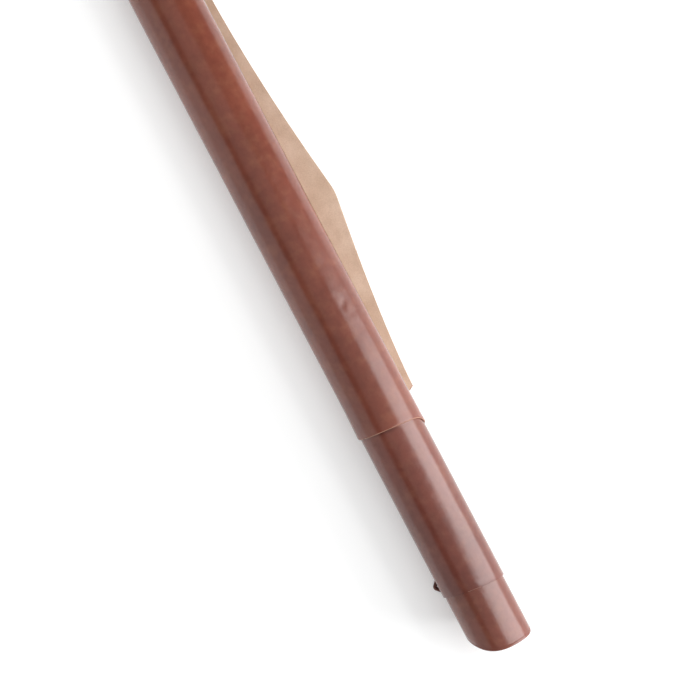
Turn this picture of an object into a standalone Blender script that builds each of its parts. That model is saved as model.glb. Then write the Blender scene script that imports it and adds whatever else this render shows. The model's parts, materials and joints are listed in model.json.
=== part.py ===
"""Leather cue case: a lined fibre tube with a pull-off cap and a rolled outer cover.

X runs along the tube from the base end (x = 0) to the cap, +Y is the side on which the cover's
pointed flap lies open, and +Z is up. The tube's axis is the X axis. Lengths are in metres.
"""

import math

import bmesh
import bpy
from mathutils import Matrix, Vector

MM = 0.001

# Clearance between pieces that are glued, seated or sliding on each other
FIT_GAP = 0.3 * MM

# Tube
CORE_RADIUS = 29.1 * MM
CORE_WALL = 2.0 * MM
CORE_LENGTH = 733.7 * MM
LEATHER = 1.1 * MM
LINING = 1.2 * MM

# Body sleeve: it reaches past the mouth, over the cap, and its raw edge is slightly slanted
BODY_LIP = 6.6 * MM
BODY_EDGE_SLOPE = (0.109, 0.01)

# Base end
BASE_DISC = 2.5 * MM
BASE_PLUG = 14.0 * MM
PAD = 3.0 * MM

# Board between the butt and the shaft, which are stored head to tail
DIVIDER = 2.4 * MM
DIVIDER_SETBACK = 6.0 * MM
SHAFT_CHANNEL = 14.6 * MM

# Cap: its end is cut on the bias, so the end plane leans in Y and in Z
SPIGOT_LENGTH = 30.0 * MM
CAP_WALL = 2.3 * MM
CAP_LENGTH = 56.4 * MM
CAP_BIAS = (0.273, 0.478)
CAP_DISC = 1.5 * MM
DISC_RECESS = 0.5 * MM
CAP_PLUG = 8.0 * MM

# Cover: one sheet, rolled from its fixed edge over the top to the underside, then flat on the floor.
# Its lower edge is listed as the share of the sheet's width from the fixed edge, and the place along X.
COVER_LEATHER = 1.0 * MM
COVER_FIXED_ANGLE = math.radians(-40.0)
COVER_BASE_X = 75.0 * MM
COVER_BASE_SLANT = 25.0 * MM
COVER_LOWER_EDGE = (
    (0.00, 588.5 * MM),
    (0.115, 583.0 * MM),
    (0.19, 577.0 * MM),
    (0.30, 574.3 * MM),
    (0.59, 569.5 * MM),
    (0.83, 560.0 * MM),
    (1.00, 550.3 * MM),
)
FLARE = 0.8 * MM
FLARE_LENGTH = 45.0 * MM
FLARE_RISE_ANGLES = (math.radians(20.0), math.radians(120.0))
FLARE_FADE_ANGLES = (math.radians(200.0), math.radians(262.0))
FOLD_CLEARANCE = 2.3 * MM

# Flap: hollow curves on both sides of a rounded point
FLAP_POINT_X = 347.7 * MM
FLAP_POINT_DEPTH = 24.0 * MM
FLAP_POINT_ROUND = 5.0 * MM
FLAP_BASE_DEPTH = 4.9 * MM
FLAP_LOWER_DEPTH = 3.8 * MM
FLAP_BASE_HOLLOW = 1.8
FLAP_LOWER_HOLLOW = 1.5

# Strap rings: triangles of wire whose straight bar lies in a folded leather tab, one near each end
RING_FROM_MOUTH = 5.6 * MM
RING_FROM_BASE = 41.2 * MM
RING_WIRE = 2.0 * MM
RING_BAR_HALF = 14.0 * MM
RING_HEIGHT = 13.6 * MM
RING_CORNER = 2.1 * MM
TAB_LEATHER = 1.1 * MM
TAB_WIDTH = 12.0 * MM
TAB_TOP_ANGLE = math.radians(203.0)
RIVETS_BELOW_TOP = math.radians(9.0)
EYE_BELOW_RIVETS = math.radians(20.0)
RIVET_SPACING = 6.4 * MM
RIVET_SHANK = 1.1 * MM
RIVET_HEAD = 2.4 * MM
RIVET_HEAD_HEIGHT = 1.0 * MM
RIVET_DOME = ((0.0, 1.0), (0.45, 0.93), (0.85, 0.6), (1.0, 0.0))

# Facets
ROUND_STEPS = 56
SMALL_ROUND_STEPS = 20
COVER_ARC_STEPS = 40
COVER_TAIL_STEPS = 4
COVER_STRAIGHT_ROWS = 5
COVER_FLARE_ROWS = 5
FLAP_EDGE_STEPS = 36
CORNER_STEPS = 5
EYE_STEPS = 16
TAB_ARC_STEPS = 8
SMOOTH_ANGLE = math.radians(35.0)
MERGE = 0.001 * MM

# Radii and angles that follow from the stack of layers
CORE_BORE = CORE_RADIUS - CORE_WALL
LINING_RADIUS = CORE_BORE - FIT_GAP
LINING_BORE = LINING_RADIUS - LINING
BODY_BORE = CORE_RADIUS + FIT_GAP
BODY_RADIUS = BODY_BORE + LEATHER
COVER_RADIUS = BODY_RADIUS + FIT_GAP + COVER_LEATHER
CAP_BORE_RADIUS = CORE_RADIUS - LEATHER
CAP_FIBRE_RADIUS = CAP_BORE_RADIUS - FIT_GAP
SPIGOT_RADIUS = CORE_BORE - FIT_GAP
CAP_HOLLOW_RADIUS = SPIGOT_RADIUS - CAP_WALL
FLOOR_Z = -COVER_RADIUS
FOLD_Y = COVER_RADIUS + FOLD_CLEARANCE
TAB_BORE = BODY_RADIUS + FIT_GAP
TAB_RADIUS = TAB_BORE + 2 * TAB_LEATHER
EYE_BORE = RING_WIRE + FIT_GAP
EYE_RADIUS = EYE_BORE + TAB_LEATHER
EYE_REACH = TAB_BORE + EYE_RADIUS
RIVET_ANGLE = TAB_TOP_ANGLE + RIVETS_BELOW_TOP
TAB_EYE_ANGLE = RIVET_ANGLE + EYE_BELOW_RIVETS
RIVET_HOLE = RIVET_SHANK + FIT_GAP

# Places along X that follow from the pieces seated on each other
CORE_BASE_X = BASE_DISC + FIT_GAP
BASE_PLUG_END_X = CORE_BASE_X + BASE_PLUG
BASE_PAD_X = BASE_PLUG_END_X + FIT_GAP
BASE_PAD_END_X = BASE_PAD_X + PAD
INNER_X = BASE_PAD_END_X + FIT_GAP
CORE_MOUTH_X = CORE_BASE_X + CORE_LENGTH
BODY_EDGE_X = CORE_MOUTH_X + BODY_LIP
SPIGOT_X = CORE_MOUTH_X - SPIGOT_LENGTH
LINING_END_X = SPIGOT_X - FIT_GAP
CAP_SHOULDER_X = CORE_MOUTH_X + FIT_GAP
CAP_END_X = CORE_MOUTH_X + CAP_LENGTH
DISC_OUTER_X = CAP_END_X - DISC_RECESS
DISC_INNER_X = DISC_OUTER_X - CAP_DISC
FIBRE_END_X = DISC_INNER_X - FIT_GAP
CAP_PLUG_X = FIBRE_END_X - CAP_HOLLOW_RADIUS * math.hypot(*CAP_BIAS) - CAP_PLUG
CAP_PAD_END_X = CAP_PLUG_X - FIT_GAP
CAP_PAD_X = CAP_PAD_END_X - PAD

# Cover sheet widths: the sheet leaves the tube where it lies on the floor, straight below the axis
STRAIGHT_DOWN = 1.5 * math.pi
COVER_ARC_WIDTH = COVER_RADIUS * (STRAIGHT_DOWN - COVER_FIXED_ANGLE)
COVER_WIDTH = COVER_ARC_WIDTH + FOLD_Y
FLAP_BASE_X = COVER_BASE_X + COVER_BASE_SLANT
FLAP_LOWER_X = COVER_LOWER_EDGE[-1][1]


def clear_scene():
    """Remove every object so that the script always starts from an empty scene."""
    for obj in list(bpy.data.objects):
        bpy.data.objects.remove(obj, do_unlink=True)


def finish(name, colour, roughness, metallic=0.0):
    """Make a material from a linear colour, a roughness and a metallic value."""
    material = bpy.data.materials.new(name)
    material.use_nodes = True
    shader = material.node_tree.nodes["Principled BSDF"]
    shader.inputs["Base Color"].default_value = (*colour, 1.0)
    shader.inputs["Roughness"].default_value = roughness
    shader.inputs["Metallic"].default_value = metallic
    return material


def add_object(name, bm, material, location=(0.0, 0.0, 0.0)):
    """Turn a bmesh into a named object, smooth where its faces meet at a shallow angle."""
    mesh = bpy.data.meshes.new(name)
    bm.to_mesh(mesh)
    bm.free()
    mesh.shade_smooth()
    mesh.set_sharp_from_angle(angle=SMOOTH_ANGLE)
    if material:
        mesh.materials.append(material)
    obj = bpy.data.objects.new(name, mesh)
    obj.location = location
    bpy.context.scene.collection.objects.link(obj)
    return obj


def cut(obj, cutter):
    """Cut an object with a guide shape that stays hidden."""
    cutter.hide_render = True
    cutter.display_type = "WIRE"
    modifier = obj.modifiers.new(cutter.name, "BOOLEAN")
    modifier.operation = "DIFFERENCE"
    modifier.solver = "EXACT"
    modifier.object = cutter


def turned_mesh(profile, closed, steps, slants=()):
    """Revolve an (x, radius) profile round X, then lean the ends that slants lists as (x, slope)."""
    bm = bmesh.new()
    verts = [bm.verts.new((x, radius, 0.0)) for x, radius in profile]
    pairs = list(zip(verts, verts[1:]))
    if closed:
        pairs.append((verts[-1], verts[0]))
    edges = [bm.edges.new(pair) for pair in pairs]
    bmesh.ops.spin(
        bm, geom=verts + edges, cent=(0, 0, 0), axis=(1, 0, 0), angle=math.tau, steps=steps, use_merge=True
    )
    bmesh.ops.remove_doubles(bm, verts=bm.verts, dist=MERGE)
    bmesh.ops.recalc_face_normals(bm, faces=bm.faces)
    for x, slope in slants:
        for vert in bm.verts:
            if abs(vert.co.x - x) < MERGE:
                vert.co.x += slope[0] * vert.co.y + slope[1] * vert.co.z
    return bm


def add_tube(name, start, end, bore, radius, material, slants=()):
    """Add a straight tube with square or leaning ends."""
    profile = [(start, radius), (end, radius), (end, bore), (start, bore)]
    return add_object(name, turned_mesh(profile, True, ROUND_STEPS, slants), material)


def add_disc(name, start, end, radius, material, slants=()):
    """Add a solid disc or plug with square or leaning faces."""
    profile = [(start, 0.0), (start, radius), (end, radius), (end, 0.0)]
    return add_object(name, turned_mesh(profile, False, ROUND_STEPS, slants), material)


def add_case_tube(fibre, leather, suede, wood, felt):
    """Add the core, its sleeve and lining, the closed base and the divider; return the sleeve."""
    add_tube("core_tube", CORE_BASE_X, CORE_MOUTH_X, CORE_BORE, CORE_RADIUS, fibre)
    edge = [(BODY_EDGE_X, BODY_EDGE_SLOPE)]
    sleeve = add_tube("body_leather", CORE_BASE_X, BODY_EDGE_X, BODY_BORE, BODY_RADIUS, leather, edge)
    add_tube("body_lining", INNER_X, LINING_END_X, LINING_BORE, LINING_RADIUS, suede)
    add_disc("base_disc", 0.0, BASE_DISC, BODY_RADIUS, leather)
    add_disc("base_plug", CORE_BASE_X, BASE_PLUG_END_X, CORE_BORE - FIT_GAP, wood)
    add_disc("base_pad", BASE_PAD_X, BASE_PAD_END_X, CORE_BORE - FIT_GAP, felt)
    add_divider(suede)
    return sleeve


def add_divider(suede):
    """Add the board: low at the base for the butt end, on the axis at the mouth, fitted to the bore."""
    reach = LINING_BORE - FIT_GAP
    half = DIVIDER / 2
    stations = (
        (INNER_X, half + SHAFT_CHANNEL - LINING_BORE),
        (LINING_END_X - DIVIDER_SETBACK, 0.0),
    )
    bm = bmesh.new()
    bmesh.ops.create_cube(bm, size=2.0)
    for vert in bm.verts:
        x, middle = stations[vert.co.x > 0]
        width = math.sqrt(reach**2 - (abs(middle) + half) ** 2)
        vert.co = (x, math.copysign(width, vert.co.y), middle + math.copysign(half, vert.co.z))
    add_object("cue_divider", bm, suede)


def add_cap(fibre, leather, wood, felt):
    """Add the cap: a stepped fibre tube with a spigot, its sleeve, and the disc, plug and pad that close it."""
    profile = [
        (SPIGOT_X, SPIGOT_RADIUS),
        (CAP_SHOULDER_X, SPIGOT_RADIUS),
        (CAP_SHOULDER_X, CAP_FIBRE_RADIUS),
        (FIBRE_END_X, CAP_FIBRE_RADIUS),
        (FIBRE_END_X, CAP_HOLLOW_RADIUS),
        (SPIGOT_X, CAP_HOLLOW_RADIUS),
    ]
    fibre_end = [(FIBRE_END_X, CAP_BIAS)]
    add_object("cap_tube", turned_mesh(profile, True, ROUND_STEPS, fibre_end), fibre)
    sleeve_end = [(CAP_END_X, CAP_BIAS)]
    add_tube("cap_leather", CAP_SHOULDER_X, CAP_END_X, CAP_BORE_RADIUS, CORE_RADIUS, leather, sleeve_end)
    disc_faces = [(DISC_INNER_X, CAP_BIAS), (DISC_OUTER_X, CAP_BIAS)]
    add_disc("cap_disc", DISC_INNER_X, DISC_OUTER_X, CAP_FIBRE_RADIUS, leather, disc_faces)
    plug_radius = CAP_HOLLOW_RADIUS - FIT_GAP
    add_disc("cap_plug", CAP_PLUG_X, FIBRE_END_X, plug_radius, wood, fibre_end)
    add_disc("cap_pad", CAP_PAD_X, CAP_PAD_END_X, plug_radius, felt)


def curve_through(points, at):
    """Read a smooth curve through (place, value) points at one place."""
    last = len(points) - 1
    index = 0
    while index < last - 1 and at > points[index + 1][0]:
        index += 1

    def slope(i):
        before, after = points[max(i - 1, 0)], points[min(i + 1, last)]
        return (after[1] - before[1]) / (after[0] - before[0])

    (start, first), (end, second) = points[index], points[index + 1]
    span = end - start
    t = (at - start) / span
    rise = second - first
    bend_in = slope(index) * span - rise
    bend_out = rise - slope(index + 1) * span
    return first + t * rise + t * (1 - t) * ((1 - t) * bend_in + t * bend_out)


def smooth_step(value):
    """Ease from 0 to 1."""
    value = min(max(value, 0.0), 1.0)
    return value * value * (3 - 2 * value)


def cover_point(share, x, from_edge):
    """Place a point of the cover's outer face from its share of the width and its place along X."""
    width = share * COVER_WIDTH
    if width > COVER_ARC_WIDTH:
        return Vector((x, width - COVER_ARC_WIDTH, FLOOR_Z))
    angle = COVER_FIXED_ANGLE + width / COVER_RADIUS
    rise_start, rise_end = FLARE_RISE_ANGLES
    fade_start, fade_end = FLARE_FADE_ANGLES
    around = smooth_step((angle - rise_start) / (rise_end - rise_start))
    around *= 1 - smooth_step((angle - fade_start) / (fade_end - fade_start))
    along = max(0.0, 1 - from_edge / FLARE_LENGTH) ** 2
    radius = COVER_RADIUS + FLARE * around * along
    return Vector((x, radius * math.cos(angle), radius * math.sin(angle)))


def add_cover_wrap(leather):
    """Add the rolled part of the cover as a sheet with a slanted base edge and a flared lower edge."""
    arc_share = COVER_ARC_WIDTH / COVER_WIDTH
    shares = [arc_share * i / COVER_ARC_STEPS for i in range(COVER_ARC_STEPS + 1)]
    shares += [arc_share + (1 - arc_share) * (i + 1) / COVER_TAIL_STEPS for i in range(COVER_TAIL_STEPS)]
    bm = bmesh.new()
    columns = []
    for share in shares:
        start = COVER_BASE_X + COVER_BASE_SLANT * share
        end = curve_through(COVER_LOWER_EDGE, share)
        flare_x = end - FLARE_LENGTH
        places = [start + (flare_x - start) * i / COVER_STRAIGHT_ROWS for i in range(COVER_STRAIGHT_ROWS)]
        places += [flare_x + FLARE_LENGTH * i / COVER_FLARE_ROWS for i in range(COVER_FLARE_ROWS + 1)]
        columns.append([bm.verts.new(cover_point(share, x, end - x)) for x in places])
    for left, right in zip(columns, columns[1:]):
        for row in range(len(left) - 1):
            bm.faces.new((left[row], right[row], right[row + 1], left[row + 1]))
    wrap = add_object("cover_wrap", bm, leather)
    wall = wrap.modifiers.new("leather", "SOLIDIFY")
    wall.thickness = COVER_LEATHER
    wall.offset = -1.0
    wall.use_even_offset = True


def flap_depth(x):
    """Depth of the flap beyond the fold at x, a hollow curve on each side of the rounded point."""
    towards_base = x < FLAP_POINT_X
    end_x = FLAP_BASE_X if towards_base else FLAP_LOWER_X
    end_depth = FLAP_BASE_DEPTH if towards_base else FLAP_LOWER_DEPTH
    hollow = FLAP_BASE_HOLLOW if towards_base else FLAP_LOWER_HOLLOW

    def rounded(distance):
        return math.hypot(distance, FLAP_POINT_ROUND) - FLAP_POINT_ROUND

    share = min(1.0, rounded(x - FLAP_POINT_X) / rounded(end_x - FLAP_POINT_X))
    return end_depth + (FLAP_POINT_DEPTH - end_depth) * (1 - share) ** hollow


def add_cover_flap(leather):
    """Add the flap, flat on the floor, with its origin on the fold line in its upper face."""
    fold = Vector((0.0, FOLD_Y, FLOOR_Z + COVER_LEATHER))
    places = []
    for end_x, first in ((FLAP_BASE_X, 0), (FLAP_LOWER_X, 1)):
        side = []
        for i in range(first, FLAP_EDGE_STEPS // 2 + 1):
            share = (2 * i / FLAP_EDGE_STEPS) ** 2
            side.append(FLAP_POINT_X + (end_x - FLAP_POINT_X) * share)
        places += side
    places.sort()
    outline = [(FLAP_LOWER_X, FIT_GAP), (FLAP_BASE_X, FIT_GAP)]
    outline = [(x, flap_depth(x)) for x in places] + outline
    bm = bmesh.new()
    face = bm.faces.new([bm.verts.new((x, y, -COVER_LEATHER)) for x, y in outline])
    top = bmesh.ops.extrude_face_region(bm, geom=[face])
    raised = [item for item in top["geom"] if isinstance(item, bmesh.types.BMVert)]
    bmesh.ops.translate(bm, verts=raised, vec=(0.0, 0.0, COVER_LEATHER))
    bmesh.ops.recalc_face_normals(bm, faces=bm.faces)
    add_object("cover_flap", bm, leather, fold)


def on_tube(x, angle, radius):
    """Point at a radius and an angle round the tube's axis, the angle counted from +Y towards +Z."""
    return Vector((x, radius * math.cos(angle), radius * math.sin(angle)))


def round_bar(name, centre, direction, radius, length):
    """Make a round guide bar along a direction, for a hole."""
    bm = bmesh.new()
    bmesh.ops.create_cone(
        bm, cap_ends=True, segments=SMALL_ROUND_STEPS, radius1=radius, radius2=radius, depth=length
    )
    turn = direction.to_track_quat("Z", "Y").to_matrix().to_4x4()
    bmesh.ops.transform(bm, matrix=Matrix.Translation(centre) @ turn, verts=bm.verts)
    return add_object(name, bm, None)


def tab_section(x):
    """Outline of a tab square to X: the curved double layer, and the eye that its fold makes round the bar."""
    centre = on_tube(x, TAB_EYE_ANGLE, EYE_REACH)
    meeting = (TAB_RADIUS**2 + EYE_REACH**2 - EYE_RADIUS**2) / (2 * TAB_RADIUS * EYE_REACH)
    outer_end = TAB_EYE_ANGLE - math.acos(meeting)
    steps = [i / TAB_ARC_STEPS for i in range(TAB_ARC_STEPS + 1)]
    outer = [on_tube(x, TAB_TOP_ANGLE + (outer_end - TAB_TOP_ANGLE) * step, TAB_RADIUS) for step in steps]
    inner = [on_tube(x, TAB_EYE_ANGLE + (TAB_TOP_ANGLE - TAB_EYE_ANGLE) * step, TAB_BORE) for step in steps]
    towards_outer = outer[-1] - centre
    turn_start = math.atan2(towards_outer.z, towards_outer.y)
    sweep = (TAB_EYE_ANGLE + math.pi - turn_start) % math.tau
    turns = [turn_start + sweep * i / EYE_STEPS for i in range(1, EYE_STEPS)]
    eye = [centre + on_tube(0.0, turn, EYE_RADIUS) for turn in turns]
    return outer + eye + inner


def add_strap_tab(place, x, leather):
    """Add a leather tab folded round the ring's bar."""
    bm = bmesh.new()
    face = bm.faces.new([bm.verts.new(point) for point in tab_section(x - TAB_WIDTH / 2)])
    far = bmesh.ops.extrude_face_region(bm, geom=[face])
    moved = [item for item in far["geom"] if isinstance(item, bmesh.types.BMVert)]
    bmesh.ops.translate(bm, verts=moved, vec=(TAB_WIDTH, 0.0, 0.0))
    bmesh.ops.recalc_face_normals(bm, faces=bm.faces)
    tab = add_object(f"strap_tab_{place}", bm, leather)
    centre = on_tube(x, TAB_EYE_ANGLE, EYE_REACH)
    cut(tab, round_bar(f"eye_bore_{place}", centre, Vector((1.0, 0.0, 0.0)), EYE_BORE, 2 * TAB_WIDTH))
    return tab


def add_strap_ring(place, x, bronze):
    """Add a triangular wire ring with its origin on the bar, leaning down until its point meets the floor."""
    centre = on_tube(x, TAB_EYE_ANGLE, EYE_REACH)
    drop = centre.z - (FLOOR_Z + RING_WIRE + FIT_GAP)
    lean = math.asin(min(1.0, drop / RING_HEIGHT))
    corners = [
        Vector((-RING_BAR_HALF, 0.0, 0.0)),
        Vector((RING_BAR_HALF, 0.0, 0.0)),
        Vector((0.0, -RING_HEIGHT, 0.0)),
    ]
    route = []
    for i, corner in enumerate(corners):
        route += rounded_corner(corners[i - 1], corner, corners[(i + 1) % 3])
    curve = bpy.data.curves.new(f"strap_ring_{place}", "CURVE")
    curve.dimensions = "3D"
    curve.bevel_depth = RING_WIRE
    curve.bevel_resolution = 2
    spline = curve.splines.new("POLY")
    spline.points.add(len(route) - 1)
    for point, co in zip(spline.points, route):
        point.co = (*co, 1.0)
    spline.use_cyclic_u = True
    curve.materials.append(bronze)
    ring = bpy.data.objects.new(f"strap_ring_{place}", curve)
    ring.location = centre
    ring.rotation_euler = (lean, 0.0, 0.0)
    bpy.context.scene.collection.objects.link(ring)


def rounded_corner(before, corner, after):
    """Points of the arc that rounds a corner between two straight runs."""
    back = (before - corner).normalized()
    ahead = (after - corner).normalized()
    half = back.angle(ahead) / 2
    middle = corner + (back + ahead).normalized() * RING_CORNER / math.sin(half)
    start = corner + back * RING_CORNER / math.tan(half) - middle
    end = corner + ahead * RING_CORNER / math.tan(half) - middle
    turns = [start.slerp(end, i / CORNER_STEPS).normalized() for i in range(CORNER_STEPS + 1)]
    return [middle + turn * RING_CORNER for turn in turns]


def add_rivets(place, x, tab, sleeve, brass):
    """Add the two rivets of a tab, and their holes through the tab and the sleeve."""
    outward = on_tube(0.0, RIVET_ANGLE, 1.0)
    for number, side in ((1, -1), (2, 1)):
        at_x = x + side * RIVET_SPACING / 2
        seat = on_tube(at_x, RIVET_ANGLE, TAB_RADIUS + FIT_GAP)
        tail = TAB_RADIUS + FIT_GAP - BODY_BORE
        profile = [(-tail, 0.0), (-tail, RIVET_SHANK), (0.0, RIVET_SHANK)]
        profile += [(height * RIVET_HEAD_HEIGHT, radius * RIVET_HEAD) for height, radius in RIVET_DOME]
        name = f"rivet_{place}_{number}"
        rivet = add_object(name, turned_mesh(profile, False, SMALL_ROUND_STEPS), brass, seat)
        rivet.rotation_mode = "QUATERNION"
        rivet.rotation_quaternion = outward.to_track_quat("X", "Z")
        hole = round_bar(f"hole_{place}_{number}", seat, outward, RIVET_HOLE, 3 * tail)
        cut(tab, hole)
        cut(sleeve, hole)


def main():
    """Build the whole case."""
    clear_scene()
    leather = finish("waxed_leather", (0.235, 0.074, 0.045), 0.38)
    cover_leather = finish("cover_leather", (0.235, 0.074, 0.045), 0.38)
    cap_leather = finish("cap_leather", (0.215, 0.066, 0.040), 0.36)
    fibre = finish("wound_fibre", (0.30, 0.20, 0.11), 0.70)
    suede = finish("suede_lining", (0.38, 0.24, 0.14), 0.92)
    wood = finish("beech_plug", (0.52, 0.33, 0.18), 0.60)
    felt = finish("wool_felt", (0.06, 0.10, 0.06), 0.95)
    tab_leather = finish("tab_leather", (0.09, 0.032, 0.022), 0.45)
    bronze = finish("dark_bronze", (0.055, 0.040, 0.032), 0.42, 1.0)
    brass = finish("rivet_brass", (0.30, 0.20, 0.09), 0.35, 1.0)
    sleeve = add_case_tube(fibre, leather, suede, wood, felt)
    add_cap(fibre, cap_leather, wood, felt)
    add_cover_wrap(cover_leather)
    add_cover_flap(cover_leather)
    for place, x in (("cap", CORE_MOUTH_X - RING_FROM_MOUTH), ("base", CORE_BASE_X + RING_FROM_BASE)):
        tab = add_strap_tab(place, x, tab_leather)
        add_strap_ring(place, x, bronze)
        add_rivets(place, x, tab, sleeve, brass)
    bpy.context.view_layer.update()


main()
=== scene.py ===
"""Looks of a leather cue case lying on a white floor, its rolled cover open at the pointed flap.

X runs along the tube from the base end to the cap, +Y is the flap's side and +Z is up. The tube's axis
is the X axis. Lengths are in metres, and angles round the tube count from +Y towards +Z.
"""

import json
import logging
import math
from collections.abc import Iterable, Sequence
from dataclasses import dataclass, field
from enum import Enum

import bmesh
import bpy
from mathutils import Matrix, Vector, noise

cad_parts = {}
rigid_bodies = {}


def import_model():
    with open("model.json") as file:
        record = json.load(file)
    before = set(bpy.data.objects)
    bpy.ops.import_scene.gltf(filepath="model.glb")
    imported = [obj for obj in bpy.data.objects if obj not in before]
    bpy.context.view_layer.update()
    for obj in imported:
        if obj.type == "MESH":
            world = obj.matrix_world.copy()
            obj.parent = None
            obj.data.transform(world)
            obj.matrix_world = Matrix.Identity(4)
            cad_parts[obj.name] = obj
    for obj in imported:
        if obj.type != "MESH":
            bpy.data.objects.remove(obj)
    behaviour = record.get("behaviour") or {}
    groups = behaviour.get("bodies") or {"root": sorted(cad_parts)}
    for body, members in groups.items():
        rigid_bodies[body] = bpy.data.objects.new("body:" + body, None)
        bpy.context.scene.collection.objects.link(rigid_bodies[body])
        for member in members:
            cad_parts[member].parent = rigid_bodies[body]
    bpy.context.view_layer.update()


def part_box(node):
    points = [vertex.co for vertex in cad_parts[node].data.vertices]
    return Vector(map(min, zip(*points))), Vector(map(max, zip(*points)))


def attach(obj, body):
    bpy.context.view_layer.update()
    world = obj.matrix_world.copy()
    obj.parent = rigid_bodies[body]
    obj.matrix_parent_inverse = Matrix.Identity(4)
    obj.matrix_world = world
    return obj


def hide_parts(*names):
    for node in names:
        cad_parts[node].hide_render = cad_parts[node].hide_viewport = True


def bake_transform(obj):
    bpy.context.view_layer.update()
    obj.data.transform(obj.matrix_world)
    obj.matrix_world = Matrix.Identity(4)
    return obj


LOG = logging.getLogger("cue_case")

MM = 0.001
MERGE = 0.001 * MM
SHARP = math.radians(35.0)
FIT_GAP = 0.3 * MM
CORE_WALL = 2.0 * MM
TURN_STEPS = 128
UNDERSIDE = 1.5 * math.pi
# Name of the mesh attribute that carries the painted shade beside the cover's edge
PAINTED_SHADE = "edge_shade"
WHITE = "#FFFFFF"

# Depth within which a point counts as lying on a sleeve's outer face
SKIN = 0.1 * MM

# Angle left open between the two cut edges of a rolled sleeve
SEAM_GAP = 0.010

# The bias on which the mouth of the body sleeve and the end of the cap are cut: slope in Y and in Z
BODY_EDGE_SLOPE = (0.109, 0.01)
CAP_END_SLOPE = (0.273, 0.478)

Mesh = bmesh.types.BMesh
Profile = Sequence[tuple[float, float]]


class Body(Enum):
    """Bodies of the frame that a piece can ride on."""

    CASE = "case"
    CAP = "cap"
    FLAP = "flap"
    RING_CAP = "ring_cap"
    RING_BASE = "ring_base"


class Slot(Enum):
    """Material slots of the record."""

    BODY = "waxed_leather"
    COVER = "cover_leather"
    CAP = "cap_leather"
    FIBRE = "wound_fibre"
    SUEDE = "suede_lining"
    BEECH = "beech_plug"
    FELT = "wool_felt"
    TAB = "tab_leather"
    BRONZE = "dark_bronze"
    BRASS = "rivet_brass"


def linear(hex_colour: str) -> tuple[float, float, float, float]:
    """Turn an sRGB hex colour into a linear one.

    Args:
        hex_colour: Six hex digits after a hash.

    Returns:
        Linear red, green, blue and an alpha of 1.
    """
    shares = [int(hex_colour[i : i + 2], 16) / 255 for i in (1, 3, 5)]
    red, green, blue = (s / 12.92 if s <= 0.04045 else ((s + 0.055) / 1.055) ** 2.4 for s in shares)
    return red, green, blue, 1.0


def per_metre(size_mm: float) -> float:
    """Texture scale at which one cell of a pattern measures size_mm."""
    return 1.0 / (size_mm * MM)


def feed(tree: bpy.types.NodeTree, node: bpy.types.Node, inputs: dict[str | int, object]) -> None:
    """Give a node its values and links.

    Args:
        tree: Node tree that holds the node.
        node: Node to feed.
        inputs: By input name or number, a value, an output socket, or a node whose first output is linked.
    """
    for key, value in inputs.items():
        if isinstance(value, bpy.types.Node):
            value = value.outputs[0]
        if isinstance(value, bpy.types.NodeSocket):
            tree.links.new(value, node.inputs[key])
        else:
            node.inputs[key].default_value = value


def add_node(
    tree: bpy.types.NodeTree,
    kind: str,
    inputs: dict[str | int, object] | None = None,
    stops: Sequence[tuple[float, str]] = (),
    **settings: object,
) -> bpy.types.Node:
    """Add a node with its settings, values and links.

    Args:
        tree: Node tree that gets the node.
        kind: Blender's name of the node's type, without its first word.
        inputs: What the node is fed with.
        stops: Places and hex colours of a colour ramp.
        **settings: Properties of the node.

    Returns:
        The new node.
    """
    node = tree.nodes.new(f"ShaderNode{kind}")
    for name, value in settings.items():
        setattr(node, name, value)
    feed(tree, node, inputs or {})
    for index, (place, colour) in enumerate(stops):
        elements = node.color_ramp.elements
        element = elements[index] if index < 2 else elements.new(place)
        element.position = place
        element.color = linear(colour)
    return node


def new_material(
    name: str,
) -> tuple[bpy.types.Material, bpy.types.NodeTree, bpy.types.Node, bpy.types.NodeSocket]:
    """Make a material whose shader has no links yet.

    Args:
        name: Name of the material.

    Returns:
        The material, its node tree, its Principled shader and the Object coordinates.
    """
    material = bpy.data.materials.new(name)
    material.use_nodes = True
    tree = material.node_tree
    return material, tree, tree.nodes["Principled BSDF"], add_node(tree, "TexCoord").outputs["Object"]


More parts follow.
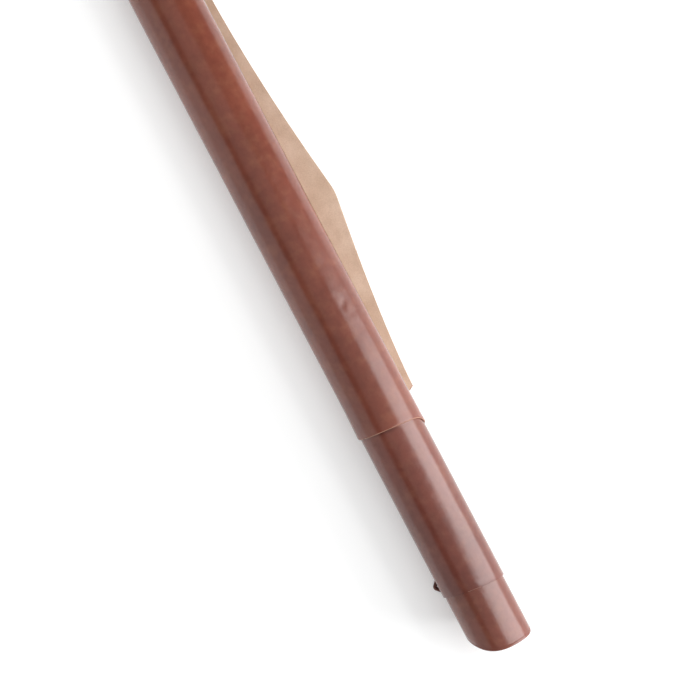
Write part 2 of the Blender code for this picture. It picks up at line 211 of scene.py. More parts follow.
@dataclass(frozen=True)
class WaxedLeather:
    """Vegetable-tanned hide, aniline dyed and waxed by hand.

    The wax leaves an even, fairly sharp sheen. Where the hide was bent the wax moves and the colour pulls
    up paler, which gives soft clouds, and the pores are too fine to show from a step away.
    """

    name: str
    deep: str
    tone: str
    pulled: str
    roughness: float = 0.25
    shade_mm: float = 70.0
    cloud_mm: float = 15.0
    fleck_mm: float = 7.0
    swell_mm: float = 16.0
    swell_depth_mm: float = 0.8
    pore_mm: float = 1.8
    pore_depth_mm: float = 0.25
    pull: float = 0.35
    # Tint multiplied into the colour where the painted shade beside the cover's edge is full
    painted_shade_level: float = 0.62

    def material(self) -> bpy.types.Material:
        """Build the clouds, the pores, the waxed sheen and the painted shade beside the cover's edge.

        Returns:
            The material.
        """
        material, tree, shader, place = new_material(self.name)
        shade, cloud, fleck, swell = (
            add_node(
                tree, "TexNoise",
                {"Vector": place, "Scale": per_metre(size), "Detail": detail, "Roughness": roughness},
            )
            for size, detail, roughness in (
                (self.shade_mm, 3.0, 0.55),
                (self.cloud_mm, 3.0, 0.55),
                (self.fleck_mm, 2.0, 0.5),
                (self.swell_mm, 2.0, 0.4),
            )
        )
        ground = add_node(tree, "ValToRGB", {"Fac": shade}, ((0.36, self.deep), (0.60, self.tone)))
        clouds = add_node(
            tree, "MapRange",
            {"Value": cloud, "From Min": 0.42, "From Max": 0.78, "To Max": self.pull},
            interpolation_type="SMOOTHSTEP",
        )
        paler = add_node(tree, "Mix", {0: clouds, 6: ground, 7: linear(self.pulled)}, data_type="RGBA")
        flecks = add_node(
            tree, "MapRange",
            {"Value": fleck, "From Min": 0.36, "From Max": 0.64, "To Min": 0.95, "To Max": 1.05},
        )
        # Painted shade: the colour darkens just past the cover's edge, where the lip's contact shadow falls
        edge_shade = add_node(tree, "Attribute", attribute_name=PAINTED_SHADE).outputs["Fac"]
        shade_tint = add_node(tree, "MapRange", {"Value": edge_shade, "To Min": 1.0, "To Max": self.painted_shade_level})
        colour = paler.outputs[2]
        for tint in (flecks, shade_tint):
            darker = add_node(
                tree, "Mix", {0: 1.0, 6: colour, 7: tint}, data_type="RGBA", blend_type="MULTIPLY"
            )
            colour = darker.outputs[2]
        sheen = add_node(
            tree, "MapRange",
            {
                "Value": cloud, "From Min": 0.3, "From Max": 0.7,
                "To Min": self.roughness - 0.02, "To Max": self.roughness + 0.015,
            },
        )
        # Pores are about 0.15 mm on the hide and are drawn coarser, so that they show at all
        pores = add_node(
            tree, "TexVoronoi",
            {"Vector": place, "Scale": per_metre(self.pore_mm), "Randomness": 1.0}, feature="SMOOTH_F1",
        )
        wavy = add_node(
            tree, "Bump", {"Height": swell, "Strength": 0.35, "Distance": self.swell_depth_mm * MM}
        )
        bump = add_node(
            tree, "Bump",
            {
                "Height": pores.outputs["Distance"], "Strength": 0.03,
                "Distance": self.pore_depth_mm * MM, "Normal": wavy,
            },
        )
        feed(tree, shader, {"Base Color": colour, "Roughness": sheen, "Normal": bump, "IOR": 1.52})
        return material


@dataclass(frozen=True)
class Fibrous:
    """Matt material of short tangled fibres: the flesh side of hide, suede, a cut edge, felt or thread.

    Light scatters among the fibres, so there is no gloss, the tone is speckled, and the nap catches a
    little light at a grazing angle.
    """

    name: str
    low: str
    high: str
    fibre_mm: float
    patch_mm: float
    roughness: float = 0.92
    sheen: float = 0.12
    relief_mm: float = 0.3

    def material(self) -> bpy.types.Material:
        """Build the speckle of the fibres over slow patches of tone.

        Returns:
            The material.
        """
        material, tree, shader, place = new_material(self.name)
        fibre, patch = (
            add_node(
                tree, "TexNoise",
                {
                    "Vector": place, "Scale": per_metre(size), "Detail": detail,
                    "Roughness": roughness, "Distortion": distortion,
                },
            )
            for size, detail, roughness, distortion in (
                (self.fibre_mm, 5.0, 0.7, 0.8),
                (self.patch_mm, 3.0, 0.55, 0.0),
            )
        )
        mixed = add_node(tree, "Mix", {0: 0.45, 2: fibre, 3: patch}, data_type="FLOAT")
        colour = add_node(tree, "ValToRGB", {"Fac": mixed}, ((0.36, self.low), (0.64, self.high)))
        bump = add_node(
            tree, "Bump", {"Height": fibre, "Strength": 0.35, "Distance": self.relief_mm * MM}
        )
        feed(tree, shader, {"Base Color": colour, "Normal": bump, "Roughness": self.roughness})
        feed(tree, shader, {"Sheen Weight": self.sheen, "Sheen Roughness": 0.5})
        return material


@dataclass(frozen=True)
class WoundFibre:
    """Kraft board wound in a spiral and glued, as in a mailing tube.

    The butted edge of the paper strip draws one helical line, and the board is matt with fine flecks.
    """

    name: str
    low: str
    high: str
    seam: str
    strip_mm: float = 58.0
    seam_mm: float = 0.7
    fleck_mm: float = 2.0
    relief_mm: float = 0.2

    def material(self) -> bpy.types.Material:
        """Build the flecked board and the helical line of the strip's edge.

        Returns:
            The material.
        """
        material, tree, shader, place = new_material(self.name)
        x, y, z = add_node(tree, "SeparateXYZ", {0: place}).outputs
        turn = add_node(tree, "Math", {0: z, 1: y}, operation="ARCTAN2")
        turns = add_node(tree, "Math", {0: turn, 1: math.tau}, operation="DIVIDE")
        helix = add_node(
            tree, "Math", {0: x, 1: per_metre(self.strip_mm), 2: turns}, operation="MULTIPLY_ADD"
        )
        phase = add_node(tree, "Math", {0: helix}, operation="FRACT")
        line = add_node(
            tree, "MapRange",
            {"Value": phase, "From Max": self.seam_mm / self.strip_mm, "To Min": 1.0, "To Max": 0.0},
        )
        fleck = add_node(
            tree, "TexNoise",
            {"Vector": place, "Scale": per_metre(self.fleck_mm), "Detail": 5.0, "Roughness": 0.75},
        )
        board = add_node(tree, "ValToRGB", {"Fac": fleck}, ((0.35, self.low), (0.65, self.high)))
        colour = add_node(tree, "Mix", {0: line, 6: board, 7: linear(self.seam)}, data_type="RGBA")
        relief = self.relief_mm * MM
        groove = add_node(
            tree, "Bump", {"Height": line, "Strength": 0.5, "Distance": relief}, invert=True
        )
        bump = add_node(
            tree, "Bump", {"Height": fleck, "Strength": 0.25, "Distance": relief, "Normal": groove}
        )
        feed(tree, shader, {"Base Color": colour.outputs[2], "Normal": bump, "Roughness": 0.78})
        return material


@dataclass(frozen=True)
class TurnedBeech:
    """Steamed beech turned on a lathe: pinkish tan with short dark ray flecks and faint growth rings."""

    name: str
    pale: str
    ring: str
    fleck: str
    ring_mm: float = 3.2
    ray_mm: float = 2.4
    relief_mm: float = 0.15

    def material(self) -> bpy.types.Material:
        """Build the growth rings and the ray flecks.

        Returns:
            The material.
        """
        material, tree, shader, place = new_material(self.name)
        rings = add_node(
            tree, "TexWave",
            {"Vector": place, "Scale": per_metre(self.ring_mm) / math.tau, "Distortion": 3.0, "Detail": 3.0},
            bands_direction="Y",
        ).outputs["Fac"]
        short = add_node(tree, "Mapping", {"Vector": place, "Scale": (0.15, 1.0, 1.0)})
        rays = add_node(tree, "TexVoronoi", {"Vector": short, "Scale": per_metre(self.ray_mm)})
        ray = add_node(
            tree, "MapRange",
            {
                "Value": rays.outputs["Distance"], "From Min": 0.08, "From Max": 0.2,
                "To Min": 0.7, "To Max": 0.0,
            },
        )
        wood = add_node(tree, "ValToRGB", {"Fac": rings}, ((0.2, self.pale), (0.9, self.ring)))
        colour = add_node(tree, "Mix", {0: ray, 6: wood, 7: linear(self.fleck)}, data_type="RGBA")
        bump = add_node(
            tree, "Bump", {"Height": rings, "Strength": 0.15, "Distance": self.relief_mm * MM}
        )
        feed(tree, shader, {"Base Color": colour.outputs[2], "Normal": bump, "Roughness": 0.55})
        return material


@dataclass(frozen=True)
class AgedMetal:
    """Copper alloy with a patina: dark in the hollows and rubbed bright on the high spots."""

    name: str
    patina: str
    rubbed: str
    roughness: float
    blotch_mm: float = 3.0
    scratch_mm: float = 0.6
    relief_mm: float = 0.1

    def material(self) -> bpy.types.Material:
        """Build the blotchy patina and the fine scratches.

        Returns:
            The material.
        """
        material, tree, shader, place = new_material(self.name)
        blotch = add_node(
            tree, "TexNoise",
            {"Vector": place, "Scale": per_metre(self.blotch_mm), "Detail": 6.0, "Roughness": 0.65},
        )
        colour = add_node(tree, "ValToRGB", {"Fac": blotch}, ((0.42, self.patina), (0.68, self.rubbed)))
        dull = add_node(
            tree, "MapRange",
            {
                "Value": blotch, "From Min": 0.35, "From Max": 0.7,
                "To Min": self.roughness + 0.12, "To Max": self.roughness - 0.08,
            },
        )
        scratch = add_node(
            tree, "TexNoise", {"Vector": place, "Scale": per_metre(self.scratch_mm), "Detail": 2.0}
        )
        bump = add_node(
            tree, "Bump", {"Height": scratch, "Strength": 0.12, "Distance": self.relief_mm * MM}
        )
        feed(tree, shader, {"Base Color": colour, "Roughness": dull, "Normal": bump, "Metallic": 1.0})
        return material


@dataclass(frozen=True)
class PaperSweep:
    """Seamless white background paper, which shows just white wherever no shadow falls on it."""

    name: str
    paper: str
    lift: float
    grain_mm: float = 1.5
    relief_mm: float = 0.1

    def material(self) -> bpy.types.Material:
        """Build the matt paper and the lift that camera, mirror and glass rays see.

        Returns:
            The material.
        """
        material, tree, shader, place = new_material(self.name)
        grain = add_node(
            tree, "TexNoise", {"Vector": place, "Scale": per_metre(self.grain_mm), "Detail": 2.0}
        )
        bump = add_node(
            tree, "Bump", {"Height": grain, "Strength": 0.05, "Distance": self.relief_mm * MM}
        )
        path = add_node(tree, "LightPath").outputs
        seen = path["Is Camera Ray"]
        for ray in ("Is Glossy Ray", "Is Transmission Ray"):
            seen = add_node(tree, "Math", {0: seen, 1: path[ray]}, operation="MAXIMUM").outputs[0]
        lift = add_node(tree, "Math", {0: seen, 1: self.lift}, operation="MULTIPLY")
        feed(tree, shader, {"Base Color": linear(self.paper), "Roughness": 0.95, "Normal": bump})
        feed(tree, shader, {"Specular IOR Level": 0.0})
        feed(tree, shader, {"Emission Color": linear(WHITE), "Emission Strength": lift})
        return material


class Finishes:
    """Every finish of the case, made once."""

    def __init__(self) -> None:
        """Make the materials."""
        # Three hides of one dye lot, the body's a shade deeper than the cover's and the cap's
        self.body = WaxedLeather("waxed_hide_body", "#6F3A30", "#7C4236", "#905B47").material()
        self.cover = WaxedLeather("waxed_hide_cover", "#7C4133", "#884939", "#9D6349").material()
        self.cap = WaxedLeather("waxed_hide_cap", "#753F33", "#82483B", "#945F48").material()
        # Strap hide soaked in oil: nearly black-brown, with a duller sheen
        self.tab = WaxedLeather(
            "oiled_strap_hide", "#3A201B", "#4C2A23", "#5A352C", roughness=0.36
        ).material()
        # Undyed flesh side, buffed flat: pale, matt and softly speckled
        self.flesh = Fibrous("buffed_flesh_side", "#D8B99E", "#F4DAC3", 1.1, 22.0).material()
        # Cut edge rubbed with wax: deeper than the flesh side and a little smoother
        self.edge = Fibrous("burnished_cut_edge", "#A3705A", "#C6937C", 0.9, 6.0, roughness=0.7).material()
        # Split hide with a raised nap: it glows where the eye grazes it
        self.suede = Fibrous("suede_split", "#9A7B5E", "#B59476", 0.8, 9.0, sheen=0.4).material()
        # Wool matted under steam: dull and coarse
        self.felt = Fibrous("pressed_wool_felt", "#2F3D2F", "#46573F", 1.2, 6.0, relief_mm=0.6).material()
        # Plied linen drawn through wax: tan, with a faint gleam
        self.thread = Fibrous("waxed_linen_thread", "#8C6A4C", "#B28D68", 0.5, 4.0, roughness=0.6).material()
        self.fibre = WoundFibre("spiral_wound_board", "#8F7350", "#AA8C64", "#6B5439").material()
        self.beech = TurnedBeech("turned_beech", "#C79E75", "#B0845C", "#7F5736").material()
        # Bronze darkened with liver of sulphur: brown and dull, brighter where it rubs
        self.bronze = AgedMetal("darkened_bronze", "#6E4C46", "#8C635B", 0.6).material()
        # Brass left to age: dull gold with a low gloss
        self.brass = AgedMetal("aged_brass", "#7A5C2E", "#B98F4C", 0.34).material()
        self.floor = PaperSweep("background_paper", "#E6E7E7", 0.20).material()


def smooth_step(value: float) -> float:
    """Ease from 0 to 1 as value goes from 0 to 1."""
    value = min(max(value, 0.0), 1.0)
    return value * value * (3 - 2 * value)


def on_tube(x: float, angle: float, radius: float) -> Vector:
    """Point at a radius and an angle round the tube's axis."""
    return Vector((x, radius * math.cos(angle), radius * math.sin(angle)))


def curve_through(points: Profile, at: float) -> float:
    """Read a smooth curve through a few points.

    Args:
        points: Places in rising order, each with its value.
        at: Place to read.

    Returns:
        The curve's value there.
    """
    last = len(points) - 1
    index = 0
    while index < last - 1 and at > points[index + 1][0]:
        index += 1

    def slope(i: int) -> float:
        """Slope at a point, from its two neighbours."""
        before, after = points[max(i - 1, 0)], points[min(i + 1, last)]
        return (after[1] - before[1]) / (after[0] - before[0])

    (start, first), (end, second) = points[index], points[index + 1]
    span = end - start
    t = (at - start) / span
    rise = second - first
    bend_in = slope(index) * span - rise
    bend_out = rise - slope(index + 1) * span
    return first + t * rise + t * (1 - t) * ((1 - t) * bend_in + t * bend_out)


def add_piece(
    name: str,
    bm: Mesh,
    materials: Sequence[bpy.types.Material],
    body: Body | None,
    nodes: Sequence[str] = (),
) -> bpy.types.Object:
    """Turn a bmesh into a piece of the case, put it on a body of the frame and hide the nodes it stands for.

    Args:
        name: Name of the piece.
        bm: Its mesh, in place, which is freed.
        materials: Finishes in the order of the faces' material numbers.
        body: Body that the piece rides on, or None to put it on no body.
        nodes: Frame nodes that the piece stands for.

    Returns:
        The new object.
    """
    mesh = bpy.data.meshes.new(name)
    bm.to_mesh(mesh)
    bm.free()
    mesh.shade_smooth()
    mesh.set_sharp_from_angle(angle=SHARP)
    for material in materials:
        mesh.materials.append(material)
    piece = bpy.data.objects.new(name, mesh)
    bpy.context.scene.collection.objects.link(piece)
    if body:
        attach(piece, body.value)
    if nodes:
        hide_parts(*nodes)
    LOG.info("%s: %d faces", name, len(mesh.polygons))
    return piece


def ease_edges(bm: Mesh, offset: float, segments: int = 2) -> None:
    """Round every edge at which two faces meet sharply.

    Args:
        bm: Mesh to change.
        offset: Width of the rounding on each face.
        segments: Steps of the rounding.
    """
    sharp = [edge for edge in bm.edges if len(edge.link_faces) == 2 and edge.calc_face_angle() > SHARP]
    bmesh.ops.bevel(
        bm, geom=sharp, offset=offset, segments=segments, profile=0.5, affect="EDGES", material=-1
    )


def close_up(bm: Mesh) -> None:
    """Merge doubles and turn the faces outwards."""
    bmesh.ops.remove_doubles(bm, verts=bm.verts, dist=MERGE)
    bmesh.ops.recalc_face_normals(bm, faces=bm.faces)


def axis_end(node: str, slope: tuple[float, float]) -> float:
    """Place along X at which the slanted far end of a node crosses the tube's axis."""
    _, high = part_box(node)
    return high[0] - high[1] * math.hypot(*slope)


def lean_end(bm: Mesh, start: float, end: float, slope: tuple[float, float], waver: float = 0.0) -> None:
    """Lean one end of a straight tube.

    Args:
        bm: Mesh to change.
        start: Place along X up to which nothing moves.
        end: Place along X from which the whole slope holds.
        slope: Lean per metre in Y and in Z.
        waver: How far three low waves round the rim stray from the slant, per cubic metre of radius.
    """
    for vert in bm.verts:
        share = min(max((vert.co.x - start) / (end - start), 0.0), 1.0)
        y, z = vert.co.yz
        vert.co.x += share * (slope[0] * y + slope[1] * z + waver * (y**3 - 3 * y * z**2))


def turned(profile: Profile, steps: int = TURN_STEPS) -> Mesh:
    """Revolve a profile round X.

    Args:
        profile: Places along X with their radii, from axis to axis, or a loop that stays off the axis.
        steps: Steps of the full turn.

    Returns:
        A closed mesh that faces outwards.
    """
    bm = bmesh.new()
    verts = [bm.verts.new((x, radius, 0.0)) for x, radius in profile]
    pairs = list(zip(verts, verts[1:]))
    if profile[0][1] > 0.0:
        pairs.append((verts[-1], verts[0]))
    edges = [bm.edges.new(pair) for pair in pairs]
    bmesh.ops.spin(
        bm, geom=verts + edges, cent=(0, 0, 0), axis=(1, 0, 0), angle=math.tau, steps=steps, use_merge=True
    )
    close_up(bm)
    return bm


def turned_plug(node: str, ease: float, end: float | None = None) -> Mesh:
    """Turn a solid plug or pad with eased rims.

    Args:
        node: Frame node whose box gives the place and the radius.
        ease: Rounding of the rims.
        end: Place of the far face along X, where it isn't the end of the box.

    Returns:
        A closed mesh.
    """
    low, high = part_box(node)
    far = high[0] if end is None else end
    bm = turned([(low[0], 0.0), (low[0], high[1]), (far, high[1]), (far, 0.0)])
    ease_edges(bm, ease, 3)
    return bm


@dataclass(frozen=True)
class Crease:
    """A line pressed into hide beside an edge.

    Attributes:
        inset: Distance of the line from the edge.
        width: Width of the line.
        depth: Depth of the line.
    """

    inset: float
    width: float
    depth: float

    def disc(self, face: float, back: float, radius: float, ease: float) -> Mesh:
        """Turn a leather end disc with this crease near the rim of its face.

        Args:
            face: Place of the outer face along X.
            back: Place of the inner face along X.
            radius: Radius of the disc.
            ease: Rounding of the rims.

        Returns:
            A closed mesh.
        """
        line = radius - self.inset
        bottom = face + math.copysign(self.depth, back - face)
        profile = [(face, 0.0), (face, line - self.width), (bottom, line - self.width / 2), (face, line)]
        profile += [(face, radius), (back, radius), (back, 0.0)]
        bm = turned(profile)
        ease_edges(bm, ease, 3)
        return bm


def rolled(profile: Profile) -> Mesh:
    """Roll a strip of hide round X until its two cut edges meet at a seam on the underside.

    Args:
        profile: Loop of places along X with their radii, the strip's cross-section.

    Returns:
        A closed mesh that faces outwards.
    """
    bm = bmesh.new()
    face = bm.faces.new([bm.verts.new((x, radius, 0.0)) for x, radius in profile])
    start = Matrix.Rotation(UNDERSIDE + SEAM_GAP / 2, 4, "X")
    bmesh.ops.transform(bm, matrix=start, verts=bm.verts)
    bmesh.ops.spin(
        bm,
        geom=[face, *face.edges, *face.verts],
        cent=(0, 0, 0),
        axis=(1, 0, 0),
        angle=math.tau - SEAM_GAP,
        steps=TURN_STEPS,
    )
    close_up(bm)
    return bm


def tube_profile(
    start: float, end: float, bore: float, radius: float, rows: int
) -> list[tuple[float, float]]:
    """Cross-section of a tube wall.

    Args:
        start: Place of one end along X.
        end: Place of the other end.
        bore: Inner radius.
        radius: Outer radius.
        rows: Stretches along the outer face, which can be waved afterwards.

    Returns:
        The loop of places along X and radii.
    """
    outer = [(start + (end - start) * i / rows, radius) for i in range(rows + 1)]
    inner = [(x, bore) for x, _ in reversed(outer)]
    return outer + inner


def add_stitch(
    bm: Mesh, centre: Vector, along: Vector, out: Vector, length: float, width: float
) -> None:
    """Add one stitch, a short bead of thread that dives into the hide at both ends.

    Args:
        bm: Mesh that gets the stitch.
        centre: Middle of the stitch, on the surface.
        along: Direction of the thread.
        out: Direction away from the surface.
        length: Visible length.
        width: Width of the thread.
    """
    side = out.cross(along).normalized()
    turn = Matrix((along.normalized(), side, out.normalized())).transposed().to_4x4()
    size = Matrix.Diagonal((length / 2, width / 2, width / 2, 1.0))
    bmesh.ops.create_uvsphere(
        bm, u_segments=8, v_segments=6, radius=1.0, matrix=Matrix.Translation(centre) @ turn @ size
    )


def seam_stitches(
    start: float,
    end: float,
    radius: float,
    pitch: float = 4.2 * MM,
    reach: float = 2.4 * MM,
    thread: float = 0.75 * MM,
) -> Mesh:
    """Sew a butt seam on the underside with slanted stitches that cross it in turn.

    Args:
        start: Place of the first stitch along X.
        end: Place of the last stitch.
        radius: Radius of the hide's face.
        pitch: Distance from stitch to stitch.
        reach: Distance from the seam to each row of holes.
        thread: Width of the thread.

    Returns:
        A mesh with one bead of thread for each stitch.
    """
    bm = bmesh.new()
    out = on_tube(0.0, UNDERSIDE, 1.0)
    for i in range(int((end - start) / pitch) + 1):
        lean = 1 if i % 2 else -1
        along = Vector((0.55 * pitch, 2 * reach * lean, 0.0))
        centre = on_tube(start + i * pitch, UNDERSIDE, radius)
        add_stitch(bm, centre, along, out, along.length, thread)
    return bm


@dataclass(frozen=True)
class Swell:
    """Slow unevenness of a hide that lies on a tube or on the floor.

    Attributes:
        length: Wavelength along the tube.
        seed: Shift that gives each piece its own pattern.
        share: Share of this swell where several add up.
        turns: How many times the pattern is wound faster round the tube.
    """

    length: float
    seed: float
    share: float = 1.0
    turns: int = 1

    def at(self, x: float, angle: float) -> float:
        """Height from 0 to the swell's share.

        Args:
            x: Place along the tube.
            angle: Angle round the tube.

        Returns:
            The height.
        """
        wound = self.turns * angle
        spot = Vector((x / self.length + self.seed, math.cos(wound) * 0.9, math.sin(wound) * 0.9))
        return self.share * min(max(0.5 + 0.5 * noise.noise(spot), 0.0), 1.0)


@dataclass
class Cover:
    """The outer cover: one sheet of hide, sewn on at its fixed edge, rolled over the top and under the tube.

    It leaves the tube straight below the axis and lies flesh side up on the floor, as a flap with a point.
    """

    finishes: Finishes
    hide: float = 1.0 * MM
    fixed_angle: float = math.radians(-40.0)
    base_slant: float = 25.0 * MM
    lower_edge: Profile = (
        (0.00, 588.5 * MM),
        (0.115, 583.0 * MM),
        (0.19, 577.0 * MM),
        (0.30, 574.3 * MM),
        (0.59, 569.5 * MM),
        (0.83, 560.0 * MM),
        (1.00, 551.0 * MM),
    )
    flare: float = 0.8 * MM
    flare_length: float = 45.0 * MM
    flare_rise: tuple[float, float] = (math.radians(20.0), math.radians(120.0))
    flare_fade: tuple[float, float] = (math.radians(200.0), math.radians(262.0))
    point_x: float = 347.7 * MM
    point_depth: float = 24.0 * MM
    point_round: float = 5.0 * MM
    base_depth: float = 4.9 * MM
    lower_depth: float = 3.8 * MM
    hollows: tuple[float, float] = (1.8, 1.5)
    corner_slant: float = 0.6
    skive: float = 0.8 * MM
    skive_drop: float = 0.6 * MM
    edge_round: float = 0.22 * MM
    swells: tuple[Swell, ...] = (Swell(62.0 * MM, 3.1, 0.65), Swell(23.0 * MM, 7.7, 0.35, 2))
    swell_height: float = 0.35 * MM
    dent: tuple[float, float, float] = (449.0 * MM, math.radians(63.0), 0.55 * MM)
    dent_size: tuple[float, float] = (5.0 * MM, 2.2 * MM)
    dent_lean: float = 0.5
    flap_swell: Swell = Swell(55.0 * MM, 1.7)
    flap_swell_angle: float = 0.4
    lift: float = 0.9 * MM
    fold_half: float = 2.6 * MM
    fold_lean: float = 0.35
    wrap_columns: int = 100
    flap_columns: int = 12
    rows: int = 216
    area_strips: int = 400
    stitch_pitch: float = 5.0 * MM
    stitch_length: float = 3.5 * MM
    stitch_width: float = 0.8 * MM
    stitch_inset: float = 4.0 * MM
    stitch_lean: float = 0.12
    radius: float = field(init=False)
    fold_y: float = field(init=False)
    base_x: float = field(init=False)

    def __post_init__(self) -> None:
        """Take the rolled radius, the fold and the base edge from the frame."""
        wrap_low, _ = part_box("cover_wrap")
        flap_low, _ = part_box("cover_flap")
        self.radius = -wrap_low[2]
        self.base_x = wrap_low[0]
        self.fold_y = flap_low[1] - FIT_GAP

    @property
    def arc_width(self) -> float:
        """Width of the sheet from its fixed edge to where it leaves the tube."""
        return self.radius * (1.5 * math.pi - self.fixed_angle)

    @property
    def width(self) -> float:
        """Width of the sheet from its fixed edge to the fold of the flap."""
        return self.arc_width + self.fold_y

    def ends(self, share: float) -> tuple[float, float]:
        """Places of the base edge and the lower edge at a share of the width."""
        return self.base_x + self.base_slant * share, curve_through(self.lower_edge, share)

    def edge_at(self, angle: float) -> float:
        """Place of the lower edge at an angle round the tube."""
        return self.ends((angle - self.fixed_angle) * self.radius / self.width)[1]

    def flap_depth(self, x: float) -> float:
        """Depth of the flap beyond the fold, a hollow curve on each side of the rounded point.

        Args:
            x: Place along the tube.

        Returns:
            Depth from the fold to the cut edge.
        """
        towards_base = x < self.point_x
        end_x = self.ends(1.0)[0 if towards_base else 1]
        end_depth = self.base_depth if towards_base else self.lower_depth
        hollow = self.hollows[0 if towards_base else 1]

        def rounded(distance: float) -> float:
            """Distance from the point, eased at the point itself."""
            return math.hypot(distance, self.point_round) - self.point_round

        share = min(1.0, rounded(x - self.point_x) / rounded(end_x - self.point_x))
        return end_depth + (self.point_depth - end_depth) * (1 - share) ** hollow

    def row_place(self, row: float, share: float) -> float:
        """Find a row of the sheet, with a narrow row at each cut edge for its skive.

        Args:
            row: Row number, from the base edge to the lower edge.
            share: Share of the sheet's width.

        Returns:
            The row's place along X.
        """
        start, end = self.ends(share)
        if row < 1:
            return start + row * self.skive
        if row > self.rows - 1:
            return end - (self.rows - row) * self.skive
        return start + self.skive + (end - start - 2 * self.skive) * (row - 1) / (self.rows - 2)

    def rolled_radius(self, share: float, angle: float, x: float) -> float:
        """Radius of the rolled sheet's grain side.

        Args:
            share: Share of the sheet's width.
            angle: Angle round the tube.
            x: Place along the tube.

        Returns:
            The radius with the flare at the lower edge, the slow swells and the dent.
        """
        _, end = self.ends(share)
        rise_start, rise_end = self.flare_rise
        fade_start, fade_end = self.flare_fade
        loose = 1 - smooth_step((angle - fade_start) / (fade_end - fade_start))
        flared = loose * smooth_step((angle - rise_start) / (rise_end - rise_start))
        along = max(0.0, 1 - (end - x) / self.flare_length) ** 2
        swelled = sum(swell.at(x, angle) for swell in self.swells)
        dent_x, dent_angle, dent_depth = self.dent
        away_x = (x - dent_x) / self.dent_size[0]
        away_round = (angle - dent_angle) * self.radius / self.dent_size[1] - self.dent_lean * away_x
        dent = dent_depth * math.exp(-(away_x**2) - away_round**2)
        return self.radius + self.flare * flared * along + self.swell_height * swelled * loose - dent

    def place(self, across: float, row: float) -> Vector:
        """Place a point of the sheet's grain side.

        Args:
            across: Column number, from the fixed edge to the flap's cut edge.
            row: Row number, from the base edge to the lower edge.

        Returns:
            The point in space.
        """
        share = min(across / self.wrap_columns, 1.0)
        x = self.row_place(row, share)
        if across > self.wrap_columns:
            depth = self.flap_depth(x) * (across - self.wrap_columns) / self.flap_columns
            near_end = smooth_step(1 - (self.ends(1.0)[1] - x) / self.flare_length)
            x -= self.corner_slant * depth * near_end
            swelled = self.flap_swell.at(x, self.flap_swell_angle)
            lifted = smooth_step(depth / self.point_depth) * swelled * self.lift
            return Vector((x, self.fold_y + depth, -self.radius + lifted))
        width = share * self.width
        if width > self.arc_width:
            return Vector((x, width - self.arc_width, -self.radius))
        angle = self.fixed_angle + width / self.radius
        drop = self.skive_drop if row < 0.5 or row > self.rows - 0.5 else 0.0
        return on_tube(x, angle, self.rolled_radius(share, angle, x) - drop)

    def build(self) -> Mesh:
        """Map a flat grid onto the rolled sheet and give it its thickness.

        Returns:
            A closed sheet whose faces are numbered grain, flesh and cut edge.
        """
        columns = self.wrap_columns + self.flap_columns
        bm = bmesh.new()
        bmesh.ops.create_grid(bm, x_segments=columns, y_segments=self.rows, size=0.5)
        for face in bm.faces:
            row = (face.calc_center_median().y + 0.5) * self.rows
            face.material_index = 2 if row < 1 or row > self.rows - 1 else 0
        for vert in bm.verts:
            vert.co = self.place((vert.co.x + 0.5) * columns, round((vert.co.y + 0.5) * self.rows))
        bmesh.ops.recalc_face_normals(bm, faces=bm.faces)
        top = max(bm.faces, key=lambda face: face.calc_center_median().z)
        if top.normal.z < 0:
            bmesh.ops.reverse_faces(bm, faces=bm.faces)
        bmesh.ops.solidify(bm, geom=bm.faces[:], thickness=self.hide)
        bm.normal_update()
        for face in bm.faces:
            middle = face.calc_center_median()
            below = middle.z < -0.8 * self.radius and middle.y > 0
            outward = Vector((0, 0, -1)) if below else Vector((0, middle.y, middle.z)).normalized()
            facing = face.normal.dot(outward)
            if abs(facing) < 0.5:
                face.material_index = 2
            elif facing < 0 and face.material_index == 0:
                face.material_index = 1
        ease_edges(bm, self.edge_round)
        return bm

    def cut_area(self) -> float:
        """Add up the flat hide that the cover is cut from, strip by strip.

        Returns:
            The area.
        """
        base, lower = self.ends(1.0)
        area = 0.0
        for i in range(self.area_strips):
            share = (i + 0.5) / self.area_strips
            start, end = self.ends(share)
            area += (end - start) * self.width / self.area_strips
            area += self.flap_depth(base + (lower - base) * share) * (lower - base) / self.area_strips
        return area

    def dress(self) -> None:
        """Add the cover and its stitches."""
        materials = [self.finishes.cover, self.finishes.flesh, self.finishes.edge]
        nodes = ["cover_wrap", "cover_flap"]
        cover = add_piece("outer_cover", self.build(), materials, None, nodes)
        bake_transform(cover)
        stitches = self.stitching()
        self.cut_area()

    def stitching(self) -> bpy.types.Object:
        """Add the row of saddle stitches that holds the fixed edge to the body sleeve.

        Returns:
            The stitches' object.
        """
        share = self.stitch_inset / self.width
        angle = self.fixed_angle + self.stitch_inset / self.radius
        start, end = self.ends(share)
        out = on_tube(0.0, angle, 1.0)
        along = Vector((1.0, 0.0, 0.0)) + self.stitch_lean * on_tube(0.0, angle + math.pi / 2, 1.0)
        count = int((end - start - 4 * self.stitch_pitch) / self.stitch_pitch)
        bm = bmesh.new()
        for i in range(count + 1):
            x = start + 2 * self.stitch_pitch + i * self.stitch_pitch
            centre = on_tube(x, angle, self.rolled_radius(share, angle, x))
            add_stitch(bm, centre, along, out, self.stitch_length, self.stitch_width)
        return add_piece("cover_stitching", bm, [self.finishes.thread], Body.CASE)


